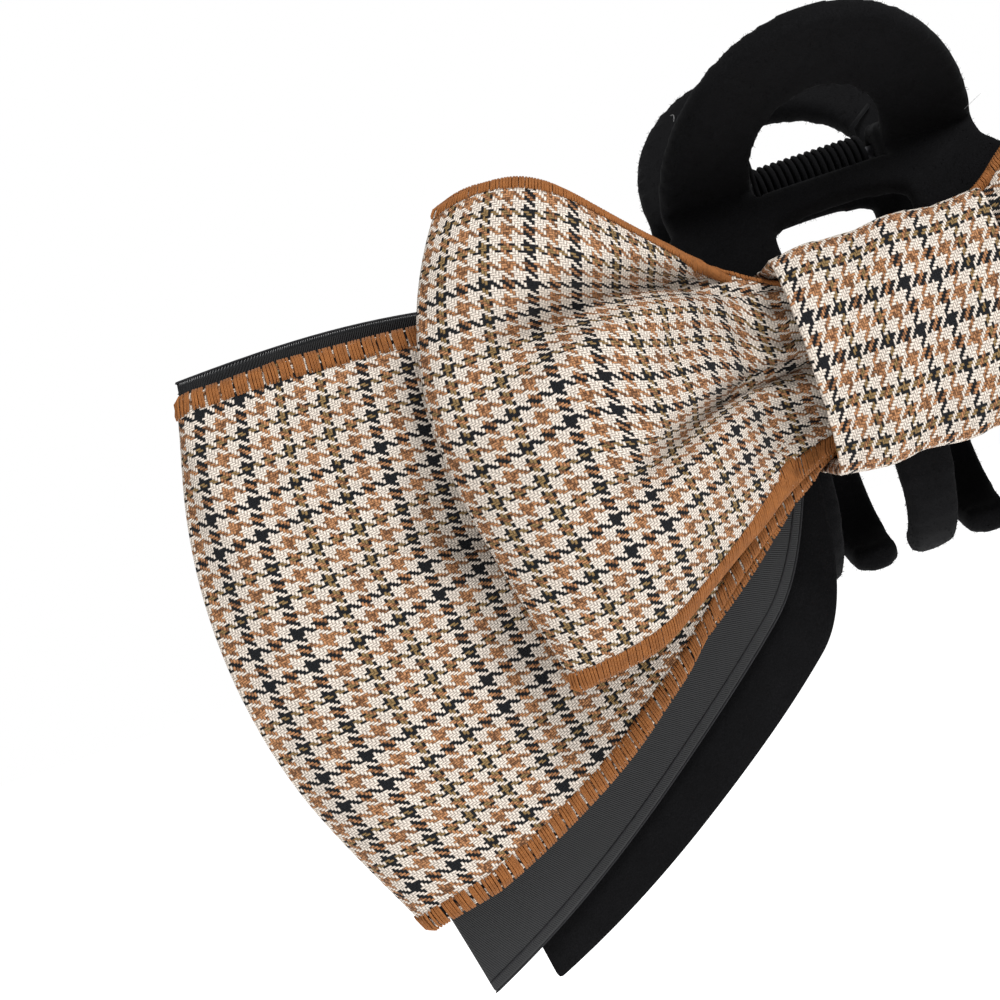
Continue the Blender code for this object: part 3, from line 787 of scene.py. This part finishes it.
def edge_cord(points, top, inset, lift, face, width, waver=0.0):
    """Line of thread that runs along the strip, inset from the edge, on one face."""
    rows, cols = points.shape[:2]
    edge_row = rows - 1 if top else 0
    inward = -1 if top else 1
    row = edge_row + inward * inset / (width / (rows - 1))
    path = []
    for c in range(cols * 2 - 1):
        col = c / 2
        here = sample(points, row, col)
        ahead = sample(points, row, col + 0.6) - sample(points, row, col - 0.6)
        across = sample(points, row + 1, col) - sample(points, row - 1, col)
        normal = ahead.cross(across).normalized()
        wave = math.sin(c * 1.9) * waver
        path.append(here + normal * (face * lift) + across.normalized() * wave)
    return path


def build_edging(name, points, top, width, node, style):
    """Overlock along one edge: rolled (little on the front), dense, or in open bundles."""
    pitch, gap, front, back, slant, chain = {
        "rolled": (0.40 * MM, 0.0, 0.5 * MM, 1.3 * MM, 0.1 * MM, False),
        "dense": (0.40 * MM, 0.0, 3.1 * MM, 2.4 * MM, 0.5 * MM, True),
        "open": (0.42 * MM, 0.30 * MM, 2.5 * MM, 2.4 * MM, 0.35 * MM, True)}[style]
    thick, half_width = 0.2 * MM, pitch * 0.54
    bundles = edge_wraps(points, top, pitch, gap, front, back, slant, thick, 0.05 * MM)
    obj = wrap_mesh(name, bundles, half_width, thick, OVERLOCK)
    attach(obj, FRONT)
    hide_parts(node)
    if chain:
        line = edge_cord(points, top, front * 1.02, CLOTH_THICK / 2 + 0.12 * MM, 1, width, 0.12 * MM)
        loop = threads(name + "_chain", [line], 0.2 * MM, OVERLOCK)
        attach(loop, FRONT)


# ---------------------------------------------------------------- build the bow

UPPER_WIDTH, UPPER_LENGTH = 66 * MM, 262 * MM
LOWER_WIDTH, LOWER_LENGTH = 69 * MM, 408 * MM

upper_points = build_loops("upper_loops", UPPER, 220, 44, UPPER_LENGTH, UPPER_WIDTH, UPPER_CHECK,
                           "upper_bow_strip", 2.5 * MM)
lower_points = build_loops("lower_loops", LOWER, 260, 44, LOWER_LENGTH, LOWER_WIDTH, LOWER_CHECK,
                           "lower_bow_strip", 1.6 * MM)
build_edging("upper_top_edging", upper_points, True, UPPER_WIDTH, "upper_top_overlock", "rolled")
build_edging("upper_bottom_edging", upper_points, False, UPPER_WIDTH, "upper_bottom_overlock", "dense")
build_edging("lower_top_edging", lower_points, True, LOWER_WIDTH, "lower_top_overlock", "open")
build_edging("lower_bottom_edging", lower_points, False, LOWER_WIDTH, "lower_bottom_overlock", "open")


def build_knot():
    """Band around the waist: bowed front, side edges turned under, faint pull lines."""
    half_x, half_z = KNOT_HIGH.x, KNOT_HIGH.z
    front, back = -KNOT_LOW.y, -KNOT_HIGH.y
    round_depth = 5.5 * MM
    hem = 0.86                       # share of the half width where the side edges turn under
    length, width = 118 * MM, 36 * MM

    def section(a):
        """Outer line of the band in the (forward, z) plane, from the back round the bottom to the back."""
        run = a * 4
        if run < 0.5 or run > 3.5:
            share = run / 0.5 if run < 0.5 else (4 - run) / 0.5
            z = -half_z * 0.93 * share
            return back, z if run < 0.5 else -z
        if run < 1.3 or run > 2.7:
            share = (run - 0.5) / 0.8 if run < 1.3 else (3.5 - run) / 0.8
            y = back + (front - round_depth - back) * share
            z = -half_z * (0.93 + 0.07 * share)
            return y, z if run < 1.3 else -z
        angle = math.pi * ((run - 1.3) / 1.4 - 0.5)
        return front - round_depth + round_depth * math.cos(angle) ** 0.8, half_z * math.sin(angle)

    def place(a, b):
        y, z = section(a)
        v = 2 * b - 1
        edge = max(abs(v) - hem, 0) / 0.14
        x = half_x * math.copysign(min(abs(v) / hem, 1), v)
        if edge > 0:
            x -= math.copysign(half_x * 0.10 * edge, v)
        tuck = 1.3 * MM * ease(edge)
        middle = Vector((0, -(front + back) / 2, 0))
        here = Vector((0, -y, z))
        inward = (middle - here).normalized()
        wide = 1 - 0.035 * math.sin(math.pi * a) ** 2
        pull = 0.35 * MM * math.sin(9 * v + 3.2 * math.sin(2 * math.pi * a)) * math.sin(math.pi * a) ** 2
        dome = 0.9 * MM * (1 - v * v) * math.sin(math.pi * a) ** 2
        here += inward * (tuck + pull - dome + 0.5 * MM)
        return Vector((x * wide, here.y, here.z))

    obj = cloth_grid("knot", 150, 50, place, length, width, KNOT_CHECK)
    relax(obj, lambda co: 1.0 if co.y > KNOT_HIGH.y - 3 * MM else 0.25, 1.0 * MM, 0.015)
    lay_uv(obj, grid_points(obj, 150, 50))
    finish_cloth(obj, CLOTH_THICK)
    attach(obj, FRONT)
    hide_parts("knot_band")


build_knot()


# ---------------------------------------------------------------- ribbons

def tail_place(depth, length, width, drops, waist, wave, cut):
    """Ribbon from one cut end to the other: level at the waist, then down at drops[0] to drops[1]."""
    start, turn_run, spread_run = 17 * MM, 12 * MM, 30 * MM
    steps = 200
    path = [(0.0, 0.0, 0.0)]
    for k in range(steps):
        out = (k + 0.5) / steps * (length - start)
        slope = (drops[0] + (drops[1] - drops[0]) * out / (length - start)) * ease(out / turn_run)
        x, z, _ = path[-1]
        path.append((x + math.cos(slope) * (length - start) / steps,
                     z - math.sin(slope) * (length - start) / steps, slope))

    def place(a, b):
        u, v = 2 * a - 1, 2 * b - 1
        reach = abs(u) * length - cut * b * abs(u) ** 3
        out = max(reach - start, 0)
        at = min(out / (length - start) * steps, steps - 0.001)
        (x0, z0, t0), (x1, z1, t1) = path[int(at)], path[int(at) + 1]
        share = at - int(at)
        turn = t0 + (t1 - t0) * share
        spread = v * (waist + (width / 2 - waist) * ease(out / spread_run))
        x = min(reach, start) + x0 + (x1 - x0) * share + spread * math.sin(turn)
        z = z0 + (z1 - z0) * share + spread * math.cos(turn)
        roll = wave * math.sin(out / (19 * MM) + 2.1 * v + 0.8 * math.copysign(1, u)) * ease(out / (25 * MM))
        gather = 0.25 * MM * math.sin(16 * v) * (1 - ease(out / (22 * MM)))
        return sway(Vector((math.copysign(x, u), -depth - roll - gather, z)))
    return place


def build_selvedge(name, points, width, faces):
    """Threads along both edges of a satin ribbon: one on the rim, and one inset on each of the faces."""
    paths = []
    for top in (True, False):
        paths.append(edge_cord(points, top, 0.05 * MM, 0.0, 1, width))
        for face in faces:
            paths.append(edge_cord(points, top, 1.5 * MM, 0.10 * MM, face, width))
    rim = threads(name + "_selvedge", paths, 0.20 * MM, BLACK_THREAD)
    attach(rim, FRONT)


def build_tail(name, node, length, width, drops, mat, wave, cut):
    near, far = layer_depth(node)
    place = tail_place((near + far) / 2, length, width, drops, 10 * MM, wave, cut)
    obj = cloth_grid(name, 220, 36, place, 2 * length, width, mat)
    points = grid_points(obj, 220, 36)
    finish_cloth(obj, RIBBON_THICK)
    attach(obj, FRONT)
    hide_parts(node)
    if mat == SATIN:
        build_selvedge(name, points, width, (1, -1))


SATIN_DROPS = math.radians(51), math.radians(25)
VELVET_DROPS = math.radians(53), math.radians(22)
build_tail("satin_tails", "satin_tail_ribbon", 104 * MM, 37 * MM, SATIN_DROPS, SATIN,
           0.45 * MM, 8 * MM)
build_tail("velvet_tails", "velvet_ribbon", 95 * MM, 53 * MM, VELVET_DROPS, VELVET,
           0.4 * MM, 10 * MM)


def build_satin_loops():
    shape = Loops(
        layer_depth("satin_loop_ribbon")[0] + 0.2 * MM,
        top=[(0, 10), (14, 10), (26, 11), (46, 26), (70, 26), (94, 25)],
        bottom=[(0, -10), (14, -10), (26, -10), (46, -12), (70, -13), (92, -14)],
        bulge=2 * MM, tilt=0.0, puff=0.3 * MM, lean=0.0, inside=1.0 * MM, hold=17 / 94,
        valleys=[], crown=0.0, gathers=6, pleat=0.3 * MM)
    length, width = 386 * MM, 39 * MM
    obj = cloth_grid("satin_loops", 200, 24, shape.place, length, width, SATIN)
    points = grid_points(obj, 200, 24)
    finish_cloth(obj, RIBBON_THICK)
    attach(obj, FRONT)
    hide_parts("satin_loop_ribbon")
    build_selvedge("satin_loops", points, width, (1,))


build_satin_loops()


# ---------------------------------------------------------------- claw

def copy_node(name, node, mat):
    """Own copy of a CAD node's mesh, welded, for a finer piece to start from."""
    deselect()
    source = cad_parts[node]
    source.select_set(True)
    bpy.context.view_layer.objects.active = source
    bpy.ops.object.duplicate()
    obj = bpy.context.object
    obj.name = name
    obj.parent = None
    obj.matrix_world = Matrix.Identity(4)
    obj.hide_render = False
    obj.data = obj.data.copy()
    obj.data.materials.clear()
    obj.data.materials.append(mat)
    apply_modifier(obj, "WELD", merge_threshold=0.02 * MM)
    return obj


def build_jaw(name, node, body):
    """Flocked jaw: the moulded shape with rounded edges and a coat of short fibres."""
    obj = copy_node(name, node, FLOCKED)
    apply_modifier(obj, "REMESH", mode="VOXEL", voxel_size=0.55 * MM)
    apply_modifier(obj, "SMOOTH", factor=0.8, iterations=7)
    apply_modifier(obj, "DISPLACE", strength=0.55 * MM, mid_level=0.0)
    obj.data.shade_smooth()
    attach(obj, body)
    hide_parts(node)
    return obj


def build_padding():
    """Wadding behind the knot's front, drawn in from its open sides; its dark colour is painted shade."""
    obj = copy_node("knot_wadding", "knot_padding", WADDING)
    for vert in obj.data.vertices:
        vert.co.x *= 0.74
        vert.co.z *= 0.95
    obj.data.shade_smooth()
    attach(obj, FRONT)
    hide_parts("knot_padding")


build_padding()


FIBRE_RADIUS = 0.03 * MM
LINT_HAIRS = 9


def build_fibres(name, source, body, count, seed):
    """Loose fibres that stand out of the flock: short ones all over and a few long pale hairs."""
    mesh = source.data
    rng = random.Random(seed)
    faces = mesh.polygons
    paths, hairs = [], []
    for _ in range(count):
        face = faces[rng.randrange(len(faces))]
        lean = Vector((rng.uniform(-1, 1), rng.uniform(-1, 1), rng.uniform(-1, 1)))
        start = face.center - face.normal * 0.1 * MM
        way = (face.normal + lean * 0.8).normalized()
        long = rng.uniform(0.25, 0.5) * MM
        paths.append([start, start + way * long * 0.6, start + (way + lean * 0.3) * long])
    for _ in range(LINT_HAIRS):
        face = faces[rng.randrange(len(faces))]
        side = face.normal.orthogonal().normalized()
        other = face.normal.cross(side)
        turn = rng.uniform(0, 2 * math.pi)
        along = side * math.cos(turn) + other * math.sin(turn)
        across = side * math.sin(turn) - other * math.cos(turn)
        bow = rng.uniform(-0.6, 0.6)
        hairs.append([face.center + face.normal * 0.25 * MM + along * step * MM
                      + across * bow * math.sin(step * 1.1) * MM for step in (0, 0.8, 1.6, 2.4, 3.1)])
    short = threads(name + "_pile", paths, FIBRE_RADIUS, FLOCKED, sides=3)
    pale = threads(name + "_lint", hairs, FIBRE_RADIUS, LINT, sides=3)
    for obj in (short, pale):
        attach(obj, body)


front_jaw = build_jaw("front_jaw_flocked", "front_jaw", FRONT)
rear_jaw = build_jaw("rear_jaw_flocked", "rear_jaw", REAR)
build_fibres("front_jaw", front_jaw, FRONT, 14000, SEED)
build_fibres("rear_jaw", rear_jaw, REAR, 11000, SEED + 1)


SLEEVE_RADIUS, SLEEVE_LENGTH = 2.12 * MM, 16.6 * MM


def build_spring():
    """Flocked copy of the CAD coil, which lies along X with one leg on each jaw."""
    obj = copy_node("spring_coil", "torsion_spring", FLOCKED)
    obj.data.shade_smooth()
    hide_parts("torsion_spring")
    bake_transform(obj)


def build_sleeve():
    """Flocked sleeve inside the coil, so that the spring reads as one ribbed roller."""
    deselect()
    bpy.ops.mesh.primitive_cylinder_add(vertices=32, radius=SLEEVE_RADIUS, depth=SLEEVE_LENGTH,
                                        location=HINGE, rotation=(0, math.pi / 2, 0))
    bpy.ops.object.transform_apply(location=True, rotation=True, scale=True)
    obj = bpy.context.object
    obj.name = "spring_sleeve"
    obj.data.materials.append(FLOCKED)
    obj.data.shade_smooth()
    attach(obj, FRONT)


build_spring()
build_sleeve()


for node, mat in {"hinge_pin": STEEL, "glue_pad": GLUE,
                  "upper_gather_thread": OVERLOCK, "lower_gather_thread": OVERLOCK,
                  "ribbon_gather_thread": BLACK_THREAD}.items():
    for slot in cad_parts[node].material_slots:
        slot.material = mat


# ---------------------------------------------------------------- camera, floor and light

def add_camera():
    """Long lens, a little to the left of the front, turned about its own axis."""
    azimuth, elevation, roll = math.radians(-5.03), math.radians(0.74), math.radians(18.64)
    distance = 430 * MM
    target = Vector((-58.55, -25, -3.56)) * MM
    forward = -Vector((math.sin(azimuth) * math.cos(elevation), -math.cos(azimuth) * math.cos(elevation),
                       math.sin(elevation)))
    right = Vector((math.cos(azimuth), math.sin(azimuth), 0))
    up = right.cross(forward)
    turned_right = right * math.cos(roll) - up * math.sin(roll)
    turned_up = right * math.sin(roll) + up * math.cos(roll)
    data = bpy.data.cameras.new("camera")
    data.sensor_width = 36
    data.lens = 117.1
    data.clip_start = 0.01
    camera = bpy.data.objects.new("camera", data)
    axes = Matrix((turned_right, turned_up, -forward)).transposed().to_4x4()
    camera.matrix_world = Matrix.Translation(target - forward * distance) @ axes
    bpy.context.scene.collection.objects.link(camera)
    bpy.context.scene.camera = camera


def add_light(name, place, aim, size, power):
    data = bpy.data.lights.new(name, "AREA")
    data.size = size
    data.energy = power
    lamp = bpy.data.objects.new(name, data)
    lamp.location = place
    lamp.rotation_euler = (Vector(aim) - Vector(place)).to_track_quat("-Z", "Y").to_euler()
    bpy.context.scene.collection.objects.link(lamp)


def add_stage():
    """White floor, a world that lights softly but shows white, and three lamps."""
    deselect()
    bpy.ops.mesh.primitive_plane_add(size=6, location=(0, 0, -0.16))
    floor = bpy.context.object
    floor.name = "floor"
    mat, _, shader = new_material("floor")
    shader.inputs["Base Color"].default_value = (0.9, 0.9, 0.9, 1)
    shader.inputs["Roughness"].default_value = 0.9
    shader.inputs["Emission Color"].default_value = (1, 1, 1, 1)
    shader.inputs["Emission Strength"].default_value = 0.8
    floor.data.materials.append(mat)
    world = bpy.data.worlds.new("studio")
    world.use_nodes = True
    w = Wires(world.node_tree)
    seen = world.node_tree.nodes.new("ShaderNodeLightPath").outputs["Is Camera Ray"]
    backdrop = world.node_tree.nodes["Background"]
    backdrop.inputs["Color"].default_value = (1, 1, 1, 1)
    soft, extra = 0.32, 0.68         # strength as light, and what the camera sees on top of it
    w.feed(w.math("MULTIPLY_ADD", seen, extra, soft), backdrop.inputs["Strength"])
    bpy.context.scene.world = world
    bpy.context.scene.view_settings.view_transform = "Standard"
    add_light("key", (0.35, -0.6, 0.8), (-0.04, 0, 0), 0.35, 11)
    add_light("fill", (-0.8, -0.7, 0.1), (0, 0, 0), 0.7, 2.2)
    add_light("rim", (0.0, 0.7, 0.7), (0, 0, 0), 0.6, 2.0)


add_camera()
add_stage()
